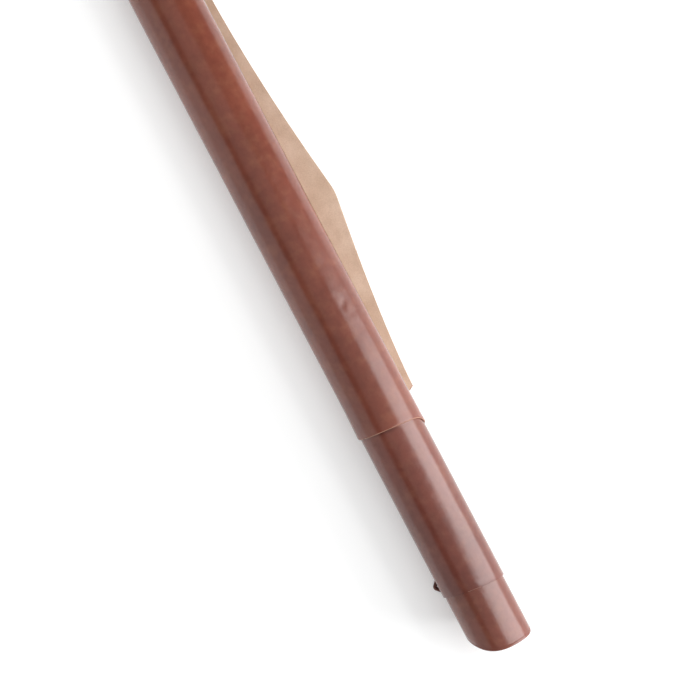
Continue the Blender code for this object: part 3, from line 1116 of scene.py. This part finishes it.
@dataclass
class CaseTube:
    """The body: a wound core with its sleeve outside, its suede inside, a closed base and the cue divider."""

    finishes: Finishes
    cover: Cover
    hide: float = 1.1 * MM
    suede: float = 1.2 * MM
    divider: float = 2.4 * MM
    crease: Crease = Crease(2.6 * MM, 0.9 * MM, 0.3 * MM)
    sleeve_rows: int = 84
    tube_rows: int = 12
    # Rows, reach, span round the tube and fade of the painted shade just past the cover's edge
    edge_shade_rows: int = 40
    edge_shade_reach: float = 4.5 * MM
    edge_shade_shares: tuple[float, float] = (-0.75, 0.35)
    edge_shade_fade: float = 0.35
    swell: Swell = Swell(48.0 * MM, 5.3)
    swell_height: float = 0.16 * MM
    cover_reach: tuple[float, float] = (70.0 * MM, 592.0 * MM)
    cover_fade: float = 12.0 * MM
    worn_angles: tuple[float, float] = (math.radians(79.0), math.radians(104.0))
    worn_width: float = 0.4 * MM
    mouth_band: float = 8.0 * MM
    base_seam: tuple[float, float] = (8.0 * MM, 66.0 * MM)
    mouth_seam: tuple[float, float] = (592.0 * MM, 736.0 * MM)
    sleeve_round: float = 0.3 * MM
    core_round: float = 0.4 * MM
    lining_round: float = 0.5 * MM
    divider_round: float = 0.7 * MM
    disc_round: float = 0.35 * MM
    plug_round: float = 0.8 * MM
    pad_round: float = 0.9 * MM

    def uncovered(self, x: float) -> float:
        """How far a place along X lies outside the outer cover, eased from 0 to 1."""
        first, last = self.cover_reach
        return smooth_step((first - x) / self.cover_fade) + smooth_step((x - last) / self.cover_fade)

    def edge_shade_at(self, x: float, angle: float) -> float:
        """Painted shade on the sleeve just past the cover's edge, on the upper side, where the lip's contact
        shadow falls.

        Args:
            x: Place along the tube.
            angle: Angle round the tube.

        Returns:
            A value from 0 to 1.
        """
        if angle < 0:
            return 0.0
        low, high = self.edge_shade_shares
        across = math.cos(angle)
        window = smooth_step((across - low) / self.edge_shade_fade) * smooth_step((high - across) / self.edge_shade_fade)
        past = (x - self.cover.edge_at(angle)) / self.edge_shade_reach
        return window * (1 - smooth_step(past)) * smooth_step(past + 2)

    def build_sleeve(self) -> Mesh:
        """Roll the body sleeve, wave its bare stretches and cut its mouth on the bias.

        Returns:
            A closed mesh whose faces are numbered grain and worn edge.
        """
        low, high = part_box("body_leather")
        radius = high[1]
        mouth = axis_end("body_leather", BODY_EDGE_SLOPE)
        wall = tube_profile(low[0], mouth, radius - self.hide, radius, self.sleeve_rows)
        # Extra rows just past the cover's edge give the painted shade room to fade
        first, last = (self.cover.edge_at(angle) for angle in (math.pi, 0.0))
        reach = last + self.edge_shade_reach - first
        extra = [(first + reach * (i + 0.5) / self.edge_shade_rows, radius) for i in range(self.edge_shade_rows)]
        outer = sorted(wall[: self.sleeve_rows + 1] + extra)
        bm = rolled(outer + wall[self.sleeve_rows + 1 :])
        ease_edges(bm, self.sleeve_round, 3)
        # Painted shade beside the cover's edge, stored on the vertices for the body's material
        edge_shade = bm.verts.layers.float.new(PAINTED_SHADE)
        for face in bm.faces:
            x, y, z = face.calc_center_median()
            outside = math.hypot(y, z) > radius - 0.5 * self.hide
            worn = self.worn_angles[0] < math.atan2(z, y) < self.worn_angles[1]
            if outside and worn and x > mouth - self.worn_width:
                face.material_index = 1
        for vert in bm.verts:
            x, y, z = vert.co
            reach = math.hypot(y, z)
            if reach > radius - SKIN:
                angle = math.atan2(z, y)
                rise = self.swell_height * self.swell.at(x, angle) * self.uncovered(x)
                vert.co = on_tube(x, angle, reach + rise)
                vert[edge_shade] = self.edge_shade_at(x, angle)
        lean_end(bm, 0.5 * mouth, mouth - self.mouth_band, BODY_EDGE_SLOPE)
        return bm

    def build_divider(self) -> Mesh:
        """Shape the board that parts the butt from the shaft: low at the base, on the axis at the mouth.

        Returns:
            A closed mesh.
        """
        low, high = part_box("cue_divider")
        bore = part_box("body_lining")[1][1] - self.suede - FIT_GAP
        half = self.divider / 2
        stations = ((low[0], low[2] + half), (high[0], high[2] - half))
        bm = bmesh.new()
        bmesh.ops.create_cube(bm, size=2.0)
        for vert in bm.verts:
            x, middle = stations[vert.co.x > 0]
            width = math.sqrt(bore**2 - (abs(middle) + half) ** 2)
            vert.co = (x, math.copysign(width, vert.co.y), middle + math.copysign(half, vert.co.z))
        ease_edges(bm, self.divider_round, 4)
        return bm

    def build_tube(self, node: str, wall: float, ease: float) -> Mesh:
        """Turn a plain tube with eased ends.

        Args:
            node: Frame node whose box gives the place and the radius.
            wall: Thickness of the tube.
            ease: Rounding of the ends.

        Returns:
            A closed mesh.
        """
        low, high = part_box(node)
        bm = turned(tube_profile(low[0], high[0], high[1] - wall, high[1], self.tube_rows))
        ease_edges(bm, ease)
        return bm

    def dress(self) -> None:
        """Add the pieces of the body."""
        finishes = self.finishes
        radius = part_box("body_leather")[1][1]
        core = self.build_tube("core_tube", CORE_WALL, self.core_round)
        lining = self.build_tube("body_lining", self.suede, self.lining_round)
        low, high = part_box("base_disc")
        disc = self.crease.disc(low[0], high[0], high[1], self.disc_round)
        plug = turned_plug("base_plug", self.plug_round)
        pad = turned_plug("base_pad", self.pad_round)
        base_seam = seam_stitches(*self.base_seam, radius)
        mouth_seam = seam_stitches(*self.mouth_seam, radius)
        hides = [finishes.body, finishes.edge]
        for name, bm, materials, slot, nodes in (
            ("body_sleeve", self.build_sleeve(), hides, Slot.BODY, ["body_leather"]),
            ("wound_core", core, [finishes.fibre], Slot.FIBRE, ["core_tube"]),
            ("suede_tube", lining, [finishes.suede], Slot.SUEDE, ["body_lining"]),
            ("suede_divider", self.build_divider(), [finishes.suede], Slot.SUEDE, ["cue_divider"]),
            ("base_leather_disc", disc, [finishes.body], Slot.BODY, ["base_disc"]),
            ("base_beech_plug", plug, [finishes.beech], Slot.BEECH, ["base_plug"]),
            ("base_felt_pad", pad, [finishes.felt], Slot.FELT, ["base_pad"]),
            ("body_seam_base", base_seam, [finishes.thread], Slot.BODY, []),
            ("body_seam_mouth", mouth_seam, [finishes.thread], Slot.BODY, []),
        ):
            add_piece(name, bm, materials, Body.CASE, nodes)


@dataclass
class Cap:
    """The pull-off cap: a stepped wound tube with a spigot, its sleeve, and what closes its slanted end."""

    finishes: Finishes
    hide: float = 1.1 * MM
    board: float = 2.3 * MM
    disc: float = 1.5 * MM
    disc_recess: float = 0.5 * MM
    crease: Crease = Crease(2.4 * MM, 0.8 * MM, 0.22 * MM)
    sleeve_rows: int = 14
    swell: Swell = Swell(40.0 * MM, 9.1)
    swell_height: float = 0.12 * MM
    swell_start: float = 10.0 * MM
    rim_waver: float = 1.4 * MM
    lean_inset: float = 1.0 * MM
    seam_start: float = 748.0 * MM
    seam_inset: float = 6.0 * MM
    rim_round: float = 0.3 * MM
    disc_round: float = 0.3 * MM
    board_round: float = 0.35 * MM
    plug_round: float = 0.6 * MM
    pad_round: float = 0.9 * MM
    end_x: float = field(init=False)
    radius: float = field(init=False)
    shoulder: float = field(init=False)

    def __post_init__(self) -> None:
        """Take the radius, the shoulder and the place of the slanted end from the frame."""
        low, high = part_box("cap_leather")
        self.radius = high[1]
        self.shoulder = low[0]
        self.end_x = axis_end("cap_leather", CAP_END_SLOPE)

    def lean(self, bm: Mesh, start: float, end: float) -> None:
        """Lean a piece from start to end until it follows the cap's slanted, wavering rim."""
        lean_end(bm, start, end, CAP_END_SLOPE, self.rim_waver / self.radius**3)

    def build_sleeve(self) -> Mesh:
        """Roll the cap's sleeve, with a crease beside its slanted end.

        Returns:
            A closed mesh.
        """
        start, radius, rows = self.shoulder, self.radius, self.sleeve_rows
        line = self.end_x - self.crease.inset
        half = self.crease.width / 2
        outer = [(start + (line - half - start) * i / rows, radius) for i in range(rows + 1)]
        outer += [(line, radius - self.crease.depth), (line + half, radius), (self.end_x, radius)]
        bore = radius - self.hide
        bm = rolled(outer + [(self.end_x, bore), (start, bore)])
        ease_edges(bm, self.rim_round, 3)
        for vert in bm.verts:
            x, y, z = vert.co
            reach = math.hypot(y, z)
            if reach > radius - SKIN and x > start + self.swell_start:
                angle = math.atan2(z, y)
                vert.co = on_tube(x, angle, reach + self.swell_height * self.swell.at(x, angle))
        self.lean(bm, start, line - half)
        return bm

    def build_disc(self) -> Mesh:
        """Turn the leather disc in the end, with a crease near its rim, and lean it to the slant.

        Returns:
            A closed mesh.
        """
        face = self.end_x - self.disc_recess
        bm = self.crease.disc(face, face - self.disc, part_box("cap_disc")[1][1], self.disc_round)
        self.lean(bm, 0.0, face - 2 * self.disc)
        return bm

    def build_tube(self) -> Mesh:
        """Turn the stepped wound tube: the spigot, the shoulder and the slanted end.

        Returns:
            A closed mesh.
        """
        low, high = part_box("cap_tube")
        end = axis_end("cap_tube", CAP_END_SLOPE)
        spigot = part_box("core_tube")[1][1] - CORE_WALL - FIT_GAP
        bore = spigot - self.board
        profile = [(low[0], spigot), (self.shoulder, spigot), (self.shoulder, high[1])]
        profile += [(end, high[1]), (end, bore), (low[0], bore)]
        bm = turned(profile)
        ease_edges(bm, self.board_round)
        self.lean(bm, self.shoulder + 2 * self.lean_inset, end - self.lean_inset)
        return bm

    def build_plug(self) -> Mesh:
        """Turn the beech plug, flat towards the cues and slanted towards the end disc.

        Returns:
            A closed mesh.
        """
        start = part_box("cap_plug")[0][0]
        end = axis_end("cap_plug", CAP_END_SLOPE)
        bm = turned_plug("cap_plug", self.plug_round, end)
        self.lean(bm, start + self.lean_inset, end - self.lean_inset)
        return bm

    def dress(self) -> None:
        """Add the pieces of the cap."""
        finishes = self.finishes
        under_end = self.end_x - CAP_END_SLOPE[1] * self.radius
        seam = seam_stitches(self.seam_start, under_end - self.seam_inset, self.radius)
        pad = turned_plug("cap_pad", self.pad_round)
        for name, bm, finish, slot, nodes in (
            ("cap_sleeve", self.build_sleeve(), finishes.cap, Slot.CAP, ["cap_leather"]),
            ("cap_end_disc", self.build_disc(), finishes.cap, Slot.CAP, ["cap_disc"]),
            ("cap_wound_tube", self.build_tube(), finishes.fibre, Slot.FIBRE, ["cap_tube"]),
            ("cap_beech_plug", self.build_plug(), finishes.beech, Slot.BEECH, ["cap_plug"]),
            ("cap_felt_pad", pad, finishes.felt, Slot.FELT, ["cap_pad"]),
            ("cap_seam", seam, finishes.thread, Slot.CAP, []),
        ):
            add_piece(name, bm, [finish], Body.CAP, nodes)


@dataclass
class StrapMount:
    """A leather tab folded round the bar of a triangular wire ring and riveted to the body sleeve."""

    finishes: Finishes
    place: str
    ring_body: Body
    hide: float = 1.1 * MM
    tab_share: float = 0.90
    tab_round: float = 0.22 * MM
    wire: float = 2.0 * MM
    wire_steps: int = 6
    bar_half: float = 14.0 * MM
    ring_height: float = 13.6 * MM
    ring_corner: float = 2.1 * MM
    top_angle: float = math.radians(203.0)
    rivet_angle: float = math.radians(212.0)
    eye_angle: float = math.radians(232.0)
    rivet_spacing: float = 6.4 * MM
    rivet_head: float = 2.4 * MM
    rivet_height: float = 1.0 * MM
    rivet_rim: float = 0.25
    rivet_undercut: float = 0.05 * MM
    rivet_round: float = 0.08 * MM
    rivet_shank: float = 1.1 * MM
    rivet_steps: int = 40
    dome_steps: int = 10
    arc_steps: int = 14
    eye_steps: int = 22
    corner_steps: int = 10
    x: float = field(init=False)
    width: float = field(init=False)
    bore: float = field(init=False)

    def __post_init__(self) -> None:
        """Take the tab's place, its width and the sleeve that carries it from the frame."""
        low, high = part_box(f"strap_tab_{self.place}")
        self.x = (low[0] + high[0]) / 2
        self.width = high[0] - low[0]
        self.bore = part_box("base_disc")[1][1] + FIT_GAP

    @property
    def eye_radius(self) -> float:
        """Outer radius of the fold round the bar."""
        return self.wire + FIT_GAP + self.hide

    @property
    def eye_reach(self) -> float:
        """Distance from the tube's axis to the bar."""
        return self.bore + self.eye_radius

    @property
    def tab_face(self) -> float:
        """Distance from the tube's axis to the tab's outer face."""
        return self.bore + 2 * self.hide

    def tab_outline(self, x: float) -> list[Vector]:
        """Follow the strap's face: down the outer layer, round the bar and up the inner layer.

        Args:
            x: Place along the tube.

        Returns:
            Points of the outline, open at the top.
        """
        top, eye, face, reach = self.top_angle, self.eye_angle, self.tab_face, self.eye_reach
        centre = on_tube(x, eye, reach)
        meeting = (face**2 + reach**2 - self.eye_radius**2) / (2 * face * reach)
        outer_end = eye - math.acos(meeting)
        steps = [i / self.arc_steps for i in range(self.arc_steps + 1)]
        outer = [on_tube(x, top + (outer_end - top) * s, face) for s in steps]
        inner = [on_tube(x, eye + (top - eye) * s, self.bore) for s in steps]
        first = outer[-1] - centre
        turn = math.atan2(first.z, first.y)
        sweep = (eye + math.pi - turn) % math.tau
        turns = [turn + sweep * i / self.eye_steps for i in range(1, self.eye_steps)]
        return outer + [centre + on_tube(0.0, angle, self.eye_radius) for angle in turns] + inner

    def build_tab(self) -> Mesh:
        """Extrude the strap's face across its width and give it its thickness.

        Returns:
            A closed mesh.
        """
        bm = bmesh.new()
        verts = [bm.verts.new(point) for point in self.tab_outline(self.x - self.width / 2)]
        edges = [bm.edges.new(pair) for pair in zip(verts, verts[1:])]
        far = bmesh.ops.extrude_edge_only(bm, edges=edges)
        moved = [item for item in far["geom"] if isinstance(item, bmesh.types.BMVert)]
        bmesh.ops.translate(bm, verts=moved, vec=(self.width, 0.0, 0.0))
        bmesh.ops.recalc_face_normals(bm, faces=bm.faces)
        if edges[0].link_faces[0].normal.dot(on_tube(0.0, self.top_angle, 1.0)) < 0:
            bmesh.ops.reverse_faces(bm, faces=bm.faces)
        bmesh.ops.solidify(bm, geom=bm.faces[:], thickness=self.tab_share * self.hide)
        bmesh.ops.recalc_face_normals(bm, faces=bm.faces)
        ease_edges(bm, self.tab_round)
        return bm

    def ring_route(self) -> list[Vector]:
        """Lead the wire round a triangle with rounded corners, leaning until its point meets the floor.

        Returns:
            Points of the closed route.
        """
        centre = on_tube(self.x, self.eye_angle, self.eye_reach)
        drop = centre.z - (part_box("cover_flap")[0][2] + self.wire + FIT_GAP)
        lean = Matrix.Rotation(math.asin(drop / self.ring_height), 3, "X")
        places = ((-self.bar_half, 0.0), (self.bar_half, 0.0), (0.0, -self.ring_height))
        corners = [Vector((along, down, 0.0)) for along, down in places]
        route = []
        for i, corner in enumerate(corners):
            back = (corners[i - 1] - corner).normalized()
            ahead = (corners[(i + 1) % 3] - corner).normalized()
            half = back.angle(ahead) / 2
            middle = corner + (back + ahead).normalized() * self.ring_corner / math.sin(half)
            start = corner + back * self.ring_corner / math.tan(half) - middle
            end = corner + ahead * self.ring_corner / math.tan(half) - middle
            for step in range(self.corner_steps + 1):
                turn = start.slerp(end, step / self.corner_steps).normalized()
                route.append(centre + lean @ (middle + turn * self.ring_corner))
        return route

    def build_ring(self) -> Mesh:
        """Sweep the round wire along the ring's route.

        Returns:
            A closed mesh.
        """
        curve = bpy.data.curves.new("ring_wire", "CURVE")
        curve.dimensions = "3D"
        curve.bevel_depth = self.wire - FIT_GAP / 2
        curve.bevel_resolution = self.wire_steps
        spline = curve.splines.new("POLY")
        route = self.ring_route()
        spline.points.add(len(route) - 1)
        for point, co in zip(spline.points, route):
            point.co = (*co, 1.0)
        spline.use_cyclic_u = True
        guide = bpy.data.objects.new("ring_guide", curve)
        mesh = bpy.data.meshes.new_from_object(guide)
        bm = bmesh.new()
        bm.from_mesh(mesh)
        bpy.data.objects.remove(guide)
        bpy.data.meshes.remove(mesh)
        close_up(bm)
        return bm

    def build_rivet(self, side: int) -> Mesh:
        """Turn a domed rivet and set it through the tab.

        Args:
            side: 1 towards the cap, -1 towards the base.

        Returns:
            A closed mesh.
        """
        foot = -2 * self.hide
        profile = [(foot, 0.0), (foot, self.rivet_shank), (0.0, self.rivet_shank)]
        profile.append((-self.rivet_undercut, self.rivet_head))
        for i in range(self.dome_steps):
            turn = math.pi / 2 * i / self.dome_steps
            height = self.rivet_rim + (1 - self.rivet_rim) * math.sin(turn)
            profile.append((height * self.rivet_height, self.rivet_head * math.cos(turn)))
        bm = turned(profile + [(self.rivet_height, 0.0)], self.rivet_steps)
        ease_edges(bm, self.rivet_round)
        out = on_tube(0.0, self.rivet_angle, 1.0)
        turn_out = out.to_track_quat("X", "Z").to_matrix().to_4x4()
        at = on_tube(self.x + side * self.rivet_spacing / 2, self.rivet_angle, self.tab_face)
        bmesh.ops.transform(bm, matrix=Matrix.Translation(at) @ turn_out, verts=bm.verts)
        return bm

    def dress(self) -> None:
        """Add the tab, the ring and the two rivets."""
        finishes = self.finishes
        tab = f"strap_tab_{self.place}"
        add_piece(f"folded_{tab}", self.build_tab(), [finishes.tab], Body.CASE, [tab])
        ring = f"strap_ring_{self.place}"
        add_piece(f"wire_{ring}", self.build_ring(), [finishes.bronze], self.ring_body, [ring])
        for number, side in ((1, -1), (2, 1)):
            node = f"rivet_{self.place}_{number}"
            rivet = self.build_rivet(side)
            add_piece(f"domed_{node}", rivet, [finishes.brass], Body.CASE, [node])


class Lit(Enum):
    """What a studio lamp lights."""

    ALL = "ALL"
    PAPER = "INCLUDE"
    CASE = "EXCLUDE"


@dataclass(frozen=True)
class SoftBox:
    """A rectangular studio lamp.

    Attributes:
        name: Name of the lamp.
        along: First and last place along X.
        elevations: Lowest and highest angle above the floor, in degrees, at which the case sees it.
        distance: Distance from the tube's axis.
        side: 1 on the flap's side, -1 on the other.
        radiance: Brightness of its face.
        lights: What the lamp lights.
    """

    name: str
    along: tuple[float, float]
    elevations: tuple[float, float]
    distance: float
    side: int
    radiance: float
    lights: Lit = Lit.ALL

    def dress(self, paper: bpy.types.Collection) -> None:
        """Hang the lamp facing the tube.

        Args:
            paper: Collection that holds the background paper alone.
        """
        middle = math.radians(sum(self.elevations) / 2)
        spread = math.radians(self.elevations[1] - self.elevations[0])
        lamp = bpy.data.lights.new(self.name, "AREA")
        lamp.shape = "RECTANGLE"
        width = self.along[1] - self.along[0]
        height = 2 * self.distance * math.tan(spread / 2)
        lamp.size = width
        lamp.size_y = height
        lamp.energy = self.radiance * math.pi * width * height
        holder = bpy.data.objects.new(self.name, lamp)
        offset = Vector((0.0, self.side * math.cos(middle), math.sin(middle))) * self.distance
        holder.location = Vector((sum(self.along) / 2, 0.0, 0.0)) + offset
        holder.rotation_euler = offset.to_track_quat("Z", "Y").to_euler()
        holder.visible_camera = False
        bpy.context.scene.collection.objects.link(holder)
        if self.lights is not Lit.ALL:
            group = bpy.data.collections.new(self.name)
            group.objects.link(paper.objects[0])
            group.collection_objects[0].light_linking.link_state = self.lights.value
            holder.light_linking.receiver_collection = group


@dataclass
class Studio:
    """White paper, lamps and the camera that looks straight down on the case."""

    finishes: Finishes
    view_width: float = 0.665
    view_at: tuple[float, float] = (490.3 * MM, 0.05 * MM)
    camera_height: float = 2.28
    camera_reach: float = 200.0
    turn: float = math.radians(62.3)
    paper_half: float = 40.0
    paper_end: float = 0.47
    paper_gap: float = 0.05 * MM
    ambient: float = 0.03
    lamps: tuple[SoftBox, ...] = (
        SoftBox("key_1", (0.42, 0.59), (-2.0, 57.5), 1.50, 1, 5.1, Lit.CASE),
        SoftBox("key_2", (0.59, 0.76), (-2.0, 51.0), 1.50, 1, 7.9, Lit.CASE),
        SoftBox("key_3", (0.76, 0.95), (-2.0, 62.0), 1.50, 1, 6.1, Lit.CASE),
        SoftBox("key_4", (0.95, 1.36), (-2.0, 74.0), 1.50, 1, 7.0, Lit.CASE),
        SoftBox("left_wall_1", (-0.90, 0.40), (1.0, 40.0), 1.60, -1, 1.12),
        SoftBox("left_wall_2", (0.40, 1.90), (1.0, 40.0), 1.60, -1, 0.82),
        SoftBox("ceiling", (-0.60, 1.60), (66.0, 119.0), 1.60, 1, 0.55, Lit.CASE),
        SoftBox("paper_side_1", (-2.20, 0.30), (12.0, 36.0), 2.00, 1, 6.0, Lit.PAPER),
        SoftBox("paper_side_2", (0.30, 2.60), (12.0, 36.0), 2.00, 1, 10.0, Lit.PAPER),
        SoftBox("paper_1", (-2.20, 0.30), (46.0, 76.0), 2.00, 1, 3.5, Lit.PAPER),
        SoftBox("paper_2", (0.30, 2.60), (36.0, 54.0), 2.00, 1, 3.6, Lit.PAPER),
        SoftBox("paper_over", (-2.20, 2.60), (76.0, 120.0), 2.00, 1, 1.34, Lit.PAPER),
    )

    def add_floor(self) -> bpy.types.Collection:
        """Lay the paper just under the case.

        Returns:
            A collection that holds the paper alone.
        """
        bm = bmesh.new()
        bmesh.ops.create_grid(bm, x_segments=8, y_segments=8, size=self.paper_half)
        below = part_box("cover_flap")[0][2] - self.paper_gap
        bmesh.ops.translate(bm, verts=bm.verts, vec=(0.0, self.paper_end - self.paper_half, below))
        mesh = bpy.data.meshes.new("paper")
        bm.to_mesh(mesh)
        bm.free()
        mesh.materials.append(self.finishes.floor)
        floor = bpy.data.objects.new("paper", mesh)
        sweep = bpy.data.collections.new("sweep")
        bpy.context.scene.collection.children.link(sweep)
        sweep.objects.link(floor)
        return sweep

    def add_camera(self) -> None:
        """Hang the camera over the case, turned so that the tube runs down to the right."""
        lens = bpy.data.cameras.new("view")
        lens.angle = 2 * math.atan(self.view_width / 2 / self.camera_height)
        lens.clip_end = self.camera_reach
        camera = bpy.data.objects.new("view", lens)
        camera.location = (*self.view_at, self.camera_height)
        camera.rotation_euler = (0.0, 0.0, self.turn)
        bpy.context.scene.collection.objects.link(camera)
        bpy.context.scene.camera = camera

    def add_world(self) -> None:
        """Give the room its dim, even light, and let the camera see white past the end of the paper."""
        world = bpy.data.worlds.new("room")
        world.use_nodes = True
        tree = world.node_tree
        seen = add_node(tree, "LightPath").outputs["Is Camera Ray"]
        strength = add_node(tree, "MapRange", {"Value": seen, "To Min": self.ambient, "To Max": 1.0})
        feed(tree, tree.nodes["Background"], {"Color": linear(WHITE), "Strength": strength})
        bpy.context.scene.world = world

    def dress(self) -> None:
        """Set up the studio."""
        sweep = self.add_floor()
        self.add_world()
        for lamp in self.lamps:
            lamp.dress(sweep)
        self.add_camera()
        bpy.context.scene.view_settings.view_transform = "Standard"


def main() -> None:
    """Dress the frame and set up the studio."""
    logging.basicConfig(level=logging.INFO, format="%(name)s: %(message)s")
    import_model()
    finishes = Finishes()
    cover = Cover(finishes)
    cover.dress()
    CaseTube(finishes, cover).dress()
    Cap(finishes).dress()
    StrapMount(finishes, "cap", Body.RING_CAP).dress()
    StrapMount(finishes, "base", Body.RING_BASE).dress()
    Studio(finishes).dress()


if __name__ == "__main__":
    main()
